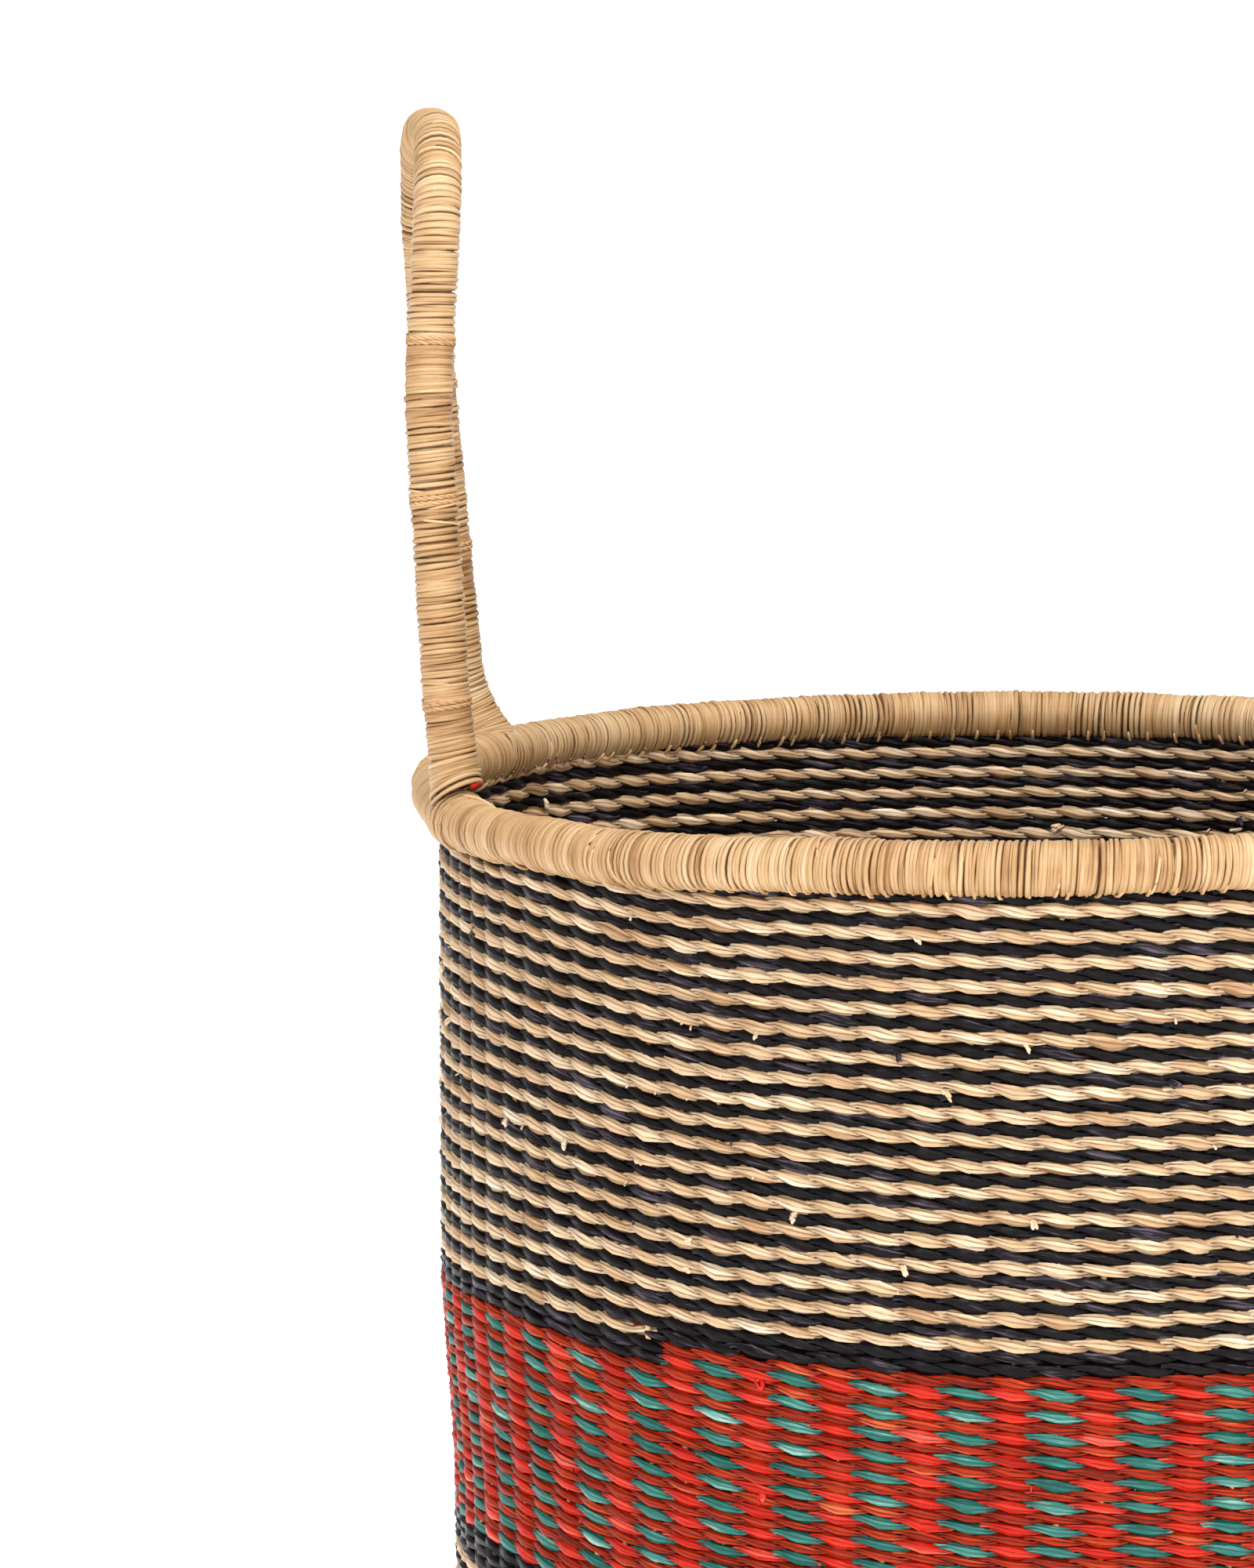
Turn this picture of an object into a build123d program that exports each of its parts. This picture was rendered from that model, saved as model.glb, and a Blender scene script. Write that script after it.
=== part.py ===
"""Woven market basket: a round, two-handled basket of twined straw. Millimetres, +Z up.

The origin is the centre of the flat base, on the surface that the basket stands on. The two handles stand at
-X and +X. Weft rows are twined round upright stakes, each colour band is one piece of weaving with a hole for
every stake, and the rim and the handles are straw bundles with a wound sleeve of straw over them.
"""

import math
import os

from build123d import *

# Rim: a wrapped bundle of straw
RIM_Z = 410.0
RIM_R = 216.0
RIM_CORE_R = 7.1
WRAP_IN_R = 7.2
WRAP_OUT_R = 9.2
LASHING_OUT_R = 10.4
PLAY = 0.1

# Weaving: the wall's middle line as (radius, height), from the base's corner to the rim
WEAVE = 6.0
HALF = WEAVE / 2
BASE_START_R = 20.0
ADDED_R = 60.0
FLOOR_R = 185.0
CORNER_BEND = 16.0
TOP_R = 212.5
WALL_LINE = [(206.0, HALF), (208.3, 172.0), (TOP_R, 235.0), (TOP_R, RIM_Z)]

# Heights of the colour bands: each row is one pitch high
ROW = 4.2
WALL_TOP = 399.4
UPPER_STRIPES = 36
BLACK_ROWS = 2
RED_ROWS = 20
RED_TOP = WALL_TOP - (UPPER_STRIPES + BLACK_ROWS) * ROW
RED_BOTTOM = RED_TOP - RED_ROWS * ROW
UPPER_BLACK_TOP = RED_TOP + BLACK_ROWS * ROW
LOWER_BLACK_BOTTOM = RED_BOTTOM - BLACK_ROWS * ROW
CORNER_TOP = 5 * ROW

# Stakes
STAKES = 92
STAKE_R = 1.1
STAKE_HOLE_R = 1.25
STAKE_STEP = 360 / STAKES
FIRST_STAKE_ANGLE = 1.3
FIRST_STAKE_START = 22.0
ADDED_STAKE_START = 62.0
FIRST_HOLE_START = 19.5
ADDED_HOLE_START = 61.5
STAKE_TOP = RIM_Z - WRAP_OUT_R - PLAY

# Starter straws, crossed at the middle of the base in two layers, each with its height and its direction
STARTERS = 6
STARTER_LENGTH = 32.0
STARTER_PITCH = 2.6
STARTER_LAYERS = [(1.9, 0.0), (4.15, 90.0)]

# Rim stitches: short straws between the stakes, from the first row to the rim
STITCH_R = 0.7

# Handles: the left loop's corners, from the front foot over the top to the rear foot, and its bends
FOOT_ANGLE = 21.0
FOOT_X = -RIM_R * math.cos(math.radians(FOOT_ANGLE))
FOOT_Y = RIM_R * math.sin(math.radians(FOOT_ANGLE))
HANDLE_LINE = [
    (FOOT_X, -FOOT_Y, RIM_Z),
    (-206.0, -76.0, RIM_Z + 38.0),
    (-212.5, -71.0, RIM_Z + 140.0),
    (-208.5, -60.0, RIM_Z + 230.0),
    (-228.5, 60.0, RIM_Z + 228.0),
    (-225.0, 71.0, RIM_Z + 140.0),
    (-215.0, 76.0, RIM_Z + 23.0),
    (FOOT_X, FOOT_Y, RIM_Z),
]
HANDLE_BENDS = [90.0, 220.0, 42.0, 50.0, 220.0, 60.0]
HANDLE_CORE_R = 6.4
HANDLE_WRAP_IN_R = 6.5
HANDLE_WRAP_OUT_R = 8.4
LASHING_SPAN = 14.0

# Splice rings, as heights above the rim, on the front leg and the rear leg
SPLICE_R = 9.0
SPLICE_HEIGHT = 3.0
FRONT_SPLICES = [36.0, 106.0, 160.0]
REAR_SPLICES = [81.0, 140.0]


def save(part, name):
    """Labels a finished piece and writes it."""
    part.label = name
    export_step(part, f"parts/{name}.step")


def stake_ring(radius, start_r, first_angle):
    """Half of the stakes: rods that run out along the base from start_r, turn up and stand in the wall."""
    line = [(start_r, HALF), *WALL_LINE[:-1], (TOP_R, STAKE_TOP)]
    with BuildPart() as rod:
        with BuildLine(Plane.XZ) as route:
            FilletPolyline(*line, radius=[CORNER_BEND, 0, 0])
        with BuildSketch(Plane(origin=route.line @ 0, z_dir=route.line % 0)):
            Circle(radius)
        sweep(path=route.line, transition=Transition.RIGHT)
    with BuildPart() as ring:
        with PolarLocations(0, STAKES // 2, start_angle=first_angle):
            add(rod.part)
    return ring.part


def weave_skin(outward):
    """The base's and the wall's surface, as (radius, height) points, HALF outside or inside the middle line."""
    corner, *wall = WALL_LINE
    points = [(BASE_START_R, HALF - outward), (corner[0] + outward, HALF - outward)]
    points += [(radius + outward, height) for radius, height in wall]
    return points


def weave_band(low, high, stake_holes):
    """The stretch of weaving between two corners, (radius, height), with a hole for each stake."""
    with BuildPart() as band:
        with BuildSketch(Plane.XZ):
            with BuildLine():
                skins = []
                for outward in (HALF, -HALF):
                    bends = [CORNER_BEND + outward, 0, 0]
                    skins.append(FilletPolyline(*weave_skin(outward), radius=bends))
                Line(skins[0] @ 0, skins[1] @ 0)
                Line(skins[0] @ 1, skins[1] @ 1)
            make_face()
            middle = ((low[0] + high[0]) / 2, (low[1] + high[1]) / 2)
            with Locations(middle):
                Rectangle(high[0] - low[0], high[1] - low[1], mode=Mode.INTERSECT)
        revolve(axis=Axis.Z)
        for holes in stake_holes:
            add(holes, mode=Mode.SUBTRACT)
    return band.part


def rim_tube(outer_r, inner_r=0.0, arc=360.0, middle=0.0):
    """A ring, or an arc of one centred on the angle middle, round the rim's centre line."""
    with BuildPart() as tube:
        with BuildSketch(Plane.XZ.rotated((0, 0, middle - arc / 2))):
            with Locations((RIM_R, RIM_Z)):
                Circle(outer_r)
                if inner_r:
                    Circle(inner_r, mode=Mode.SUBTRACT)
        revolve(axis=Axis.Z, revolution_arc=arc)
    return tube.part


def handle_rod(outer_r, inner_r=0.0):
    """A rod, or a sleeve, along the left handle's centre line, cut to sit on the rim."""
    with BuildPart() as rod:
        with BuildLine() as loop:
            FilletPolyline(*HANDLE_LINE, radius=HANDLE_BENDS)
        foot = Plane(origin=loop.line @ 0, z_dir=loop.line % 0)
        for radius, mode in ((outer_r, Mode.ADD), (inner_r, Mode.SUBTRACT)):
            if radius:
                with BuildSketch(foot):
                    Circle(radius)
                sweep(path=loop.line, mode=mode)
        add(rim_tube(WRAP_OUT_R + PLAY), mode=Mode.SUBTRACT)
    return rod.part


def splice_rings():
    """The raised turns on the left handle's two legs where one bunch of straw ends."""
    with BuildLine() as loop:
        FilletPolyline(*HANDLE_LINE, radius=HANDLE_BENDS)
    with BuildPart() as rings:
        for heights, near_end in ((FRONT_SPLICES, True), (REAR_SPLICES, False)):
            for height in heights:
                place = leg_place(loop.line, RIM_Z + height, near_end)
                with BuildSketch(Plane(origin=loop.line @ place, z_dir=loop.line % place)):
                    Circle(SPLICE_R)
                    Circle(HANDLE_WRAP_OUT_R + PLAY, mode=Mode.SUBTRACT)
                extrude(amount=SPLICE_HEIGHT / 2, both=True)
    return rings.part


def leg_place(line, height, near_end):
    """Where along the loop, from 0 to 1, one of its legs reaches a height."""
    low, high = (0.0, 0.5) if near_end else (1.0, 0.5)
    for _ in range(30):
        middle = (low + high) / 2
        if (line @ middle).Z < height:
            low = middle
        else:
            high = middle
    return (low + high) / 2


def turned(part):
    """The same piece on the right-hand side of the basket."""
    with BuildPart() as other:
        add(part, rotation=(0, 0, 180))
    return other.part


os.makedirs("parts", exist_ok=True)

# Stakes: half of them start at the middle of the base, half are added where the base is wider
first_stakes = stake_ring(STAKE_R, FIRST_STAKE_START, FIRST_STAKE_ANGLE)
added_stakes = stake_ring(STAKE_R, ADDED_STAKE_START, FIRST_STAKE_ANGLE + STAKE_STEP)
first_holes = stake_ring(STAKE_HOLE_R, FIRST_HOLE_START, FIRST_STAKE_ANGLE)
added_holes = stake_ring(STAKE_HOLE_R, ADDED_HOLE_START, FIRST_STAKE_ANGLE + STAKE_STEP)
save(first_stakes, "first_stakes")
save(added_stakes, "added_stakes")

# Starter straws
with BuildPart() as starter_straws:
    for height, turn in STARTER_LAYERS:
        with BuildSketch(Plane.YZ.rotated((0, 0, turn)).offset(-STARTER_LENGTH / 2)):
            with Locations((0, height)):
                with GridLocations(STARTER_PITCH, 0, STARTERS, 1):
                    Circle(STAKE_R)
        extrude(amount=STARTER_LENGTH)
save(starter_straws.part, "starter_straws")

# Weaving, from the middle of the base to the top of the wall
holes = [first_holes, added_holes]
outside = TOP_R + WEAVE
bands = {
    "base_start_weave": ((0, -1), (ADDED_R, WEAVE + 1), [first_holes]),
    "base_weave": ((ADDED_R + PLAY, -1), (FLOOR_R, WEAVE + 1), holes),
    "base_corner_weave": ((FLOOR_R + PLAY, -1), (outside, CORNER_TOP), holes),
    "lower_striped_weave": ((FLOOR_R, CORNER_TOP), (outside, LOWER_BLACK_BOTTOM), holes),
    "lower_black_weave": ((FLOOR_R, LOWER_BLACK_BOTTOM), (outside, RED_BOTTOM), holes),
    "red_teal_weave": ((FLOOR_R, RED_BOTTOM), (outside, RED_TOP), holes),
    "upper_black_weave": ((FLOOR_R, RED_TOP), (outside, UPPER_BLACK_TOP), holes),
    "upper_striped_weave": ((FLOOR_R, UPPER_BLACK_TOP), (outside, WALL_TOP), holes),
}
for name, (low, high, stake_holes) in bands.items():
    save(weave_band(low, high, stake_holes), name)

# Rim: the core bundle and its wrap
save(rim_tube(RIM_CORE_R), "rim_core")
save(rim_tube(WRAP_OUT_R, WRAP_IN_R), "rim_wrap")

# Handles: a core bundle, its wrap, a lashing under each foot and the splice rings
core = handle_rod(HANDLE_CORE_R)
wrap = handle_rod(HANDLE_WRAP_OUT_R, HANDLE_WRAP_IN_R)
leg = handle_rod(HANDLE_WRAP_OUT_R + PLAY)
rings = splice_rings()
lashings = {}
for foot, angle in (("front", 180 + FOOT_ANGLE), ("rear", 180 - FOOT_ANGLE)):
    with BuildPart() as lashing:
        add(rim_tube(LASHING_OUT_R, WRAP_OUT_R + PLAY, LASHING_SPAN, angle))
        add(leg, mode=Mode.SUBTRACT)
    lashings[foot] = lashing.part
save(core, "left_handle_core")
save(wrap, "left_handle_wrap")
save(rings, "left_handle_splices")
save(lashings["front"], "left_front_lashing")
save(lashings["rear"], "left_rear_lashing")
save(turned(core), "right_handle_core")
save(turned(wrap), "right_handle_wrap")
save(turned(rings), "right_handle_splices")
save(turned(lashings["front"]), "right_rear_lashing")
save(turned(lashings["rear"]), "right_front_lashing")

# Rim stitches, one between each two stakes
with BuildPart() as rim_stitches:
    with BuildSketch(Plane.XY.offset(WALL_TOP)):
        with PolarLocations(TOP_R, STAKES, start_angle=FIRST_STAKE_ANGLE + STAKE_STEP / 2):
            Circle(STITCH_R)
    extrude(amount=RIM_Z - WALL_TOP)
    add(rim_tube(WRAP_OUT_R), mode=Mode.SUBTRACT)
    for side in (0, 180):
        for angle in (FOOT_ANGLE, -FOOT_ANGLE):
            add(rim_tube(LASHING_OUT_R, 0, LASHING_SPAN, side + angle), mode=Mode.SUBTRACT)
save(rim_stitches.part, "rim_stitches")
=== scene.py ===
"""Looks of the woven market basket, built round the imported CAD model.

The wall is twined: two strands of each row pass in turn in front of and behind the stakes, with half a turn
between stakes. The rows are two spirals that go down together, so a row ends where the row after next
starts. The rim and the handles are wound with straw, turn by turn. Meshes are worked out in millimetres.
"""
import math

import bpy
import numpy as np
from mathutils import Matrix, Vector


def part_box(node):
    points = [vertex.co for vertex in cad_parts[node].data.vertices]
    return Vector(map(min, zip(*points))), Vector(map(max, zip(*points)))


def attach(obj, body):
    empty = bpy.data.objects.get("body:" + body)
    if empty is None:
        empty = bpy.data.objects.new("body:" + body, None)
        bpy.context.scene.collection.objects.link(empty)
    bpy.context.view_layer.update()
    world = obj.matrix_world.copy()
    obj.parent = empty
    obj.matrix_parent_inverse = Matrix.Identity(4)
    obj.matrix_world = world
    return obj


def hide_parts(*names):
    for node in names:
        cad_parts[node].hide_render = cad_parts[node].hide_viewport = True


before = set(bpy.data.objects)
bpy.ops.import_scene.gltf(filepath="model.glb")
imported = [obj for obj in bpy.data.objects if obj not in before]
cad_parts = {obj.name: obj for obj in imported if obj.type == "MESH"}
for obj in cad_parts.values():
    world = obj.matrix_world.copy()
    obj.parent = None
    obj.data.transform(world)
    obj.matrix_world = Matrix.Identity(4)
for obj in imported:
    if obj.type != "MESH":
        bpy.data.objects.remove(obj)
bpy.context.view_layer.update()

MM = 0.001
TURN = 2 * math.pi


def edges_of(node):
    """Lowest and highest corners of a CAD node, in millimetres."""
    low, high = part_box(node)
    return np.array(low) / MM, np.array(high) / MM


# Sizes of the CAD model
rim_low, rim_high = edges_of("rim_wrap")
RIM_TUBE = (rim_high[2] - rim_low[2]) / 2
RIM_Z = (rim_high[2] + rim_low[2]) / 2
RIM_R = rim_high[0] - RIM_TUBE
HALF_WALL = 3.0
WALL_TOP_R = edges_of("upper_striped_weave")[1][0] - HALF_WALL
WALL_LOW_R = edges_of("lower_striped_weave")[1][0] - HALF_WALL
BAND_LOW_Z = edges_of("red_teal_weave")[0][2]
BAND_HIGH_Z = edges_of("red_teal_weave")[1][2]
CORNER_BEND = 16.0
CORNER_R = 206.0
FLOOR_Z = HALF_WALL

# Twined rows
STAKES = 92
START_STAKES = 46
STAKE_TURN = math.radians(1.3)
JOG = math.radians(234)
ROW_KNOTS = [-3, 0, 38.5, 60.5, 93, 101, 131, 141]
FRONT_DEPTHS = [-3.4, 8.96, 168.2, 251.8, 389, 421, 546, 586]
LEFT_DEPTHS = [-1.1, 11.82, 177.2, 258.6, 389, 421, 546, 586]
LEFT_MIDDLE = math.radians(168)
LEFT_SPREAD = math.radians(46)
LIFT_KNOTS = [110, 155, 203, 212, 222, 231, 240]
LIFTS = [0, 8.0, 8.0, 6.8, 4.2, 1.5, 0]
LIFT_ROWS = [38.5, 60.5, 93]
LIFT_SHARES = [1, 0.6, 0]
HANG = 4.0
HANG_MIDDLE = math.radians(80)
HANG_SPREAD = math.radians(62)
HANG_FADE_ROWS = 14
WAVE_FADE = 28
LOWEST_Z = 0.1
BOTH = (0, 1)
STRAND_REACH = 1.42
STRAND_HALF_THICKNESS = 1.3
STRAND_LEAD = math.radians(10)
STRAND_RISE = 0.28
LOBE_DEPTH = 0.2
LOBES = 6
NATURAL_TALL = 1.1
DARK_TALL = 0.95
BAND_TALL = 1.08

# Centre of the base
MAT_PITCH = 2.6
MAT_R = 30.0
MAT_STRAW_R = 1.2

# Rim and handles
RIM_DIPS = [(-3.8, 230, 15), (-4.0, 205, 14), (2.5, 290, 20)]
RIM_PITCH = 2.3
RIM_CORE_R = 7.0
RIM_STITCHES = 150
RIM_CROSSINGS = 60
HANDLE_CROSSINGS = 30
CROSSING_POINTS = 14
WRAP_HALF_THICKNESS = 0.72
LASHING_PITCH = 1.9
LASHING_HALF = 8.5
FOOT_X = -201.65
FOOT_Y = 77.41
HANDLE_POINTS = [
    (FOOT_X, -FOOT_Y, RIM_Z),
    (-206, -76, RIM_Z + 38),
    (-212.5, -71, RIM_Z + 140),
    (-208.5, -60, RIM_Z + 230),
    (-228.5, 60, RIM_Z + 228),
    (-225, 71, RIM_Z + 140),
    (-215, 76, RIM_Z + 23),
    (FOOT_X, FOOT_Y, RIM_Z),
]
HANDLE_BENDS = [90, 220, 42, 50, 220, 60]
HANDLE_R = 8.4
FRONT_SPLICES = [36, 106, 160]
REAR_SPLICES = [81, 140]

# Camera and lights, in metres: name, place, size and power of each lamp
CAMERA_PLACE = (0.00435, -2.2, RIM_Z * MM + 0.2812)
CAMERA_DOWN = 0.1272
CAMERA_TURN = 0.0697
LAMPS = [
    ("key", (-0.7, -2.9, 2.3), 0.7, 60),
    ("fill", (2.2, -2.0, 1.6), 1.5, 32),
    ("top", (0.5, -0.7, 3.1), 1.5, 62),
]
LAMP_AIM = [0, 0, 0.3]
WORLD_LIGHT = 0.62
FLOOR_HALF = 400.0


# ---------------------------------------------------------------- meshes

class Batch:
    """Tubes that become one mesh, with the numbers that the straw material reads."""

    def __init__(self):
        self.points = []
        self.fibre = []
        self.tone = []
        self.shade = []
        self.quads = []
        self.caps = []
        self.count = 0

    def tube(self, rings, along, tone, shade, closed=False):
        """rings is (rings, sides, 3); along is per ring; tone and shade are per ring and side."""
        number, sides = rings.shape[:2]
        index = self.count + np.arange(number * sides).reshape(number, sides)
        following = np.roll(index, -1, axis=1)
        if closed:
            lower, upper = index, np.roll(index, -1, axis=0)
            lower_next, upper_next = following, np.roll(following, -1, axis=0)
        else:
            lower, upper = index[:-1], index[1:]
            lower_next, upper_next = following[:-1], following[1:]
            self.caps.append(index[0][::-1])
            self.caps.append(index[-1])
        self.quads.append(np.stack([lower, lower_next, upper_next, upper], axis=-1).reshape(-1, 4))
        half_way = np.abs(1 - 2 * np.arange(sides) / sides)
        around = np.tile((1 - half_way) * LOBES / 2, (number, 1))
        side_along = np.repeat(np.asarray(along, float)[:, None], sides, axis=1)
        seed = np.full((number, sides), self.count % 977)
        self.points.append(rings.reshape(-1, 3))
        self.fibre.append(np.stack([side_along, around, seed], axis=-1).reshape(-1, 3))
        self.tone.append(np.broadcast_to(tone, (number, sides)).reshape(-1))
        self.shade.append(np.broadcast_to(shade, (number, sides)).reshape(-1))
        self.count += number * sides

    def build(self, name, material, nodes):
        """Makes the object with its material, and hides the CAD nodes that it stands for."""
        mesh = bpy.data.meshes.new(name)
        points = np.concatenate(self.points) * MM
        quads = np.concatenate(self.quads)
        caps = [np.asarray(cap) for cap in self.caps]
        corners = np.concatenate([quads.reshape(-1)] + caps)
        sizes = np.concatenate([np.full(len(quads), 4), np.array([len(cap) for cap in caps], int)])
        starts = np.concatenate([[0], np.cumsum(sizes)[:-1]])
        mesh.vertices.add(len(points))
        mesh.vertices.foreach_set("co", points.astype(np.float32).reshape(-1))
        mesh.loops.add(len(corners))
        mesh.loops.foreach_set("vertex_index", corners.astype(np.int32))
        mesh.polygons.add(len(sizes))
        mesh.polygons.foreach_set("loop_start", starts.astype(np.int32))
        mesh.polygons.foreach_set("use_smooth", np.ones(len(sizes), bool))
        mesh.update(calc_edges=True)
        fibre = mesh.attributes.new("fibre", "FLOAT_VECTOR", "POINT")
        fibre.data.foreach_set("vector", np.concatenate(self.fibre).astype(np.float32).reshape(-1))
        for label, values in (("tone", self.tone), ("shade", self.shade)):
            attribute = mesh.attributes.new(label, "FLOAT", "POINT")
            attribute.data.foreach_set("value", np.concatenate(values).astype(np.float32))
        piece = bpy.data.objects.new(name, mesh)
        bpy.context.scene.collection.objects.link(piece)
        mesh.materials.append(material)
        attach(piece, "root")
        if nodes:
            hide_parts(*nodes)
        return piece


# ---------------------------------------------------------------- materials

def linear(colour):
    """sRGB 0-255 to the linear values that a shader takes."""
    share = np.array(colour, float) / 255
    low = share / 12.92
    high = ((share + 0.055) / 1.055) ** 2.4
    return tuple(np.where(share <= 0.04045, low, high)) + (1.0,)


def link(tree, source, target):
    tree.links.new(source, target)


def new_material(name):
    """A material with nodes, its node tree and its shader."""
    material = bpy.data.materials.new(name)
    material.use_nodes = True
    return material, material.node_tree, material.node_tree.nodes["Principled BSDF"]


def attribute(tree, name):
    """The node that reads one of the numbers that a Batch puts on its mesh."""
    reader = tree.nodes.new("ShaderNodeAttribute")
    reader.attribute_name = name
    return reader


def stretched(tree, vector, scale):
    """A vector scaled by another amount along each axis."""
    mapping = tree.nodes.new("ShaderNodeMapping")
    mapping.inputs["Scale"].default_value = scale
    link(tree, vector, mapping.inputs["Vector"])
    return mapping.outputs["Vector"]


def noise(tree, vector, scale, detail):
    """A noise texture."""
    texture = tree.nodes.new("ShaderNodeTexNoise")
    texture.inputs["Scale"].default_value = scale
    texture.inputs["Detail"].default_value = detail
    link(tree, vector, texture.inputs["Vector"])
    return texture


def relief_of(tree, height, strength, distance, shader):
    """Bump on the shader's normal."""
    relief = tree.nodes.new("ShaderNodeBump")
    relief.inputs["Strength"].default_value = strength
    relief.inputs["Distance"].default_value = distance
    link(tree, height, relief.inputs["Height"])
    link(tree, relief.outputs["Normal"], shader.inputs["Normal"])


def straw_material(name, tones, groove_shade, roughness, streak=0.35, bump=0.35, specular=0.5, fibre_line_shade=0.0):
    """Dyed or plain straw: a tone for each stitch, fine streaks, painted shade in the grooves, in thin lines
    between fibres and towards the crossings, satin gloss.
    """
    material, tree, shader = new_material(name)
    tone = attribute(tree, "tone")
    shade = attribute(tree, "shade")
    fibre = attribute(tree, "fibre")
    streaks = noise(tree, stretched(tree, fibre.outputs["Vector"], (0.16, 2.6, 0.37)), 1.0, 4.0)
    place = tree.nodes.new("ShaderNodeTexCoord")
    blotches = noise(tree, place.outputs["Object"], 55.0, 2.0)

    spread = tree.nodes.new("ShaderNodeMath")
    spread.operation = "MULTIPLY_ADD"
    spread.inputs[1].default_value = streak * 2
    spread.inputs[2].default_value = -streak
    link(tree, streaks.outputs["Fac"], spread.inputs[0])
    patch = tree.nodes.new("ShaderNodeMath")
    patch.operation = "MULTIPLY_ADD"
    patch.inputs[1].default_value = 0.5
    patch.inputs[2].default_value = -0.25
    link(tree, blotches.outputs["Fac"], patch.inputs[0])
    both = tree.nodes.new("ShaderNodeMath")
    both.operation = "ADD"
    link(tree, spread.outputs[0], both.inputs[0])
    link(tree, patch.outputs[0], both.inputs[1])
    total = tree.nodes.new("ShaderNodeMath")
    total.operation = "ADD"
    total.use_clamp = True
    link(tree, both.outputs[0], total.inputs[0])
    link(tree, tone.outputs["Fac"], total.inputs[1])

    ramp = tree.nodes.new("ShaderNodeValToRGB")
    ramp.color_ramp.elements[0].color = linear(tones[0])
    ramp.color_ramp.elements[-1].color = linear(tones[-1])
    for position, colour in zip(np.linspace(0, 1, len(tones))[1:-1], tones[1:-1]):
        ramp.color_ramp.elements.new(float(position)).color = linear(colour)
    link(tree, total.outputs[0], ramp.inputs["Fac"])

    # Painted shade: thin dark lines where the fibres meet, broken up by the streaks, added to the shade that
    # the mesh carries.
    split = tree.nodes.new("ShaderNodeSeparateXYZ")
    link(tree, fibre.outputs["Vector"], split.inputs[0])
    share = tree.nodes.new("ShaderNodeMath")
    share.operation = "PINGPONG"
    share.inputs[1].default_value = 0.5
    link(tree, split.outputs["Y"], share.inputs[0])
    line = tree.nodes.new("ShaderNodeMapRange")
    line.interpolation_type = "SMOOTHSTEP"
    line.inputs["From Min"].default_value = 0.28
    line.inputs["From Max"].default_value = 0.48
    line.inputs["To Max"].default_value = fibre_line_shade
    link(tree, share.outputs[0], line.inputs["Value"])
    breaks = tree.nodes.new("ShaderNodeMapRange")
    breaks.inputs["From Min"].default_value = 0.34
    breaks.inputs["From Max"].default_value = 0.6
    breaks.inputs["To Min"].default_value = 0.1
    link(tree, streaks.outputs["Fac"], breaks.inputs["Value"])
    broken = tree.nodes.new("ShaderNodeMath")
    broken.operation = "MULTIPLY"
    link(tree, line.outputs["Result"], broken.inputs[0])
    link(tree, breaks.outputs["Result"], broken.inputs[1])
    dark = tree.nodes.new("ShaderNodeMath")
    dark.operation = "ADD"
    dark.use_clamp = True
    link(tree, broken.outputs[0], dark.inputs[0])
    link(tree, shade.outputs["Fac"], dark.inputs[1])

    # Painted shade: the colour is mixed towards the dark groove colour as far as the shade and the fibre
    # lines say.
    darken = tree.nodes.new("ShaderNodeMix")
    darken.data_type = "RGBA"
    darken.blend_type = "MIX"
    darken.inputs["B"].default_value = linear(groove_shade)
    link(tree, dark.outputs[0], darken.inputs["Factor"])
    link(tree, ramp.outputs["Color"], darken.inputs["A"])
    link(tree, darken.outputs["Result"], shader.inputs["Base Color"])

    gloss = tree.nodes.new("ShaderNodeMapRange")
    gloss.inputs["To Min"].default_value = roughness - 0.08
    gloss.inputs["To Max"].default_value = roughness + 0.14
    link(tree, streaks.outputs["Fac"], gloss.inputs["Value"])
    link(tree, gloss.outputs["Result"], shader.inputs["Roughness"])
    relief_of(tree, streaks.outputs["Fac"], bump, 0.0006, shader)
    shader.inputs["Specular IOR Level"].default_value = specular
    return material


def rod_material(name, tones, stretch_scale):
    """Straw rods of the CAD model: streaks along their length, and patches of tone."""
    material, tree, shader = new_material(name)
    place = tree.nodes.new("ShaderNodeTexCoord")
    streaks = noise(tree, stretched(tree, place.outputs["Object"], stretch_scale), 1.0, 5.0)
    ramp = tree.nodes.new("ShaderNodeValToRGB")
    ramp.color_ramp.elements[0].position = 0.3
    ramp.color_ramp.elements[0].color = linear(tones[0])
    ramp.color_ramp.elements[1].position = 0.7
    ramp.color_ramp.elements[1].color = linear(tones[1])
    link(tree, streaks.outputs["Fac"], ramp.inputs["Fac"])
    link(tree, ramp.outputs["Color"], shader.inputs["Base Color"])
    relief_of(tree, streaks.outputs["Fac"], 0.4, 0.0005, shader)
    shader.inputs["Roughness"].default_value = 0.5
    return material


# The second colour of each straw is its painted shade, for the grooves, the fibre lines and the crossings.
NATURAL = straw_material(
    "natural straw", [(164, 122, 80), (204, 166, 124), (226, 196, 158), (236, 216, 190)], (70, 42, 22), 0.42,
    specular=0.35, fibre_line_shade=0.62)
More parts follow.
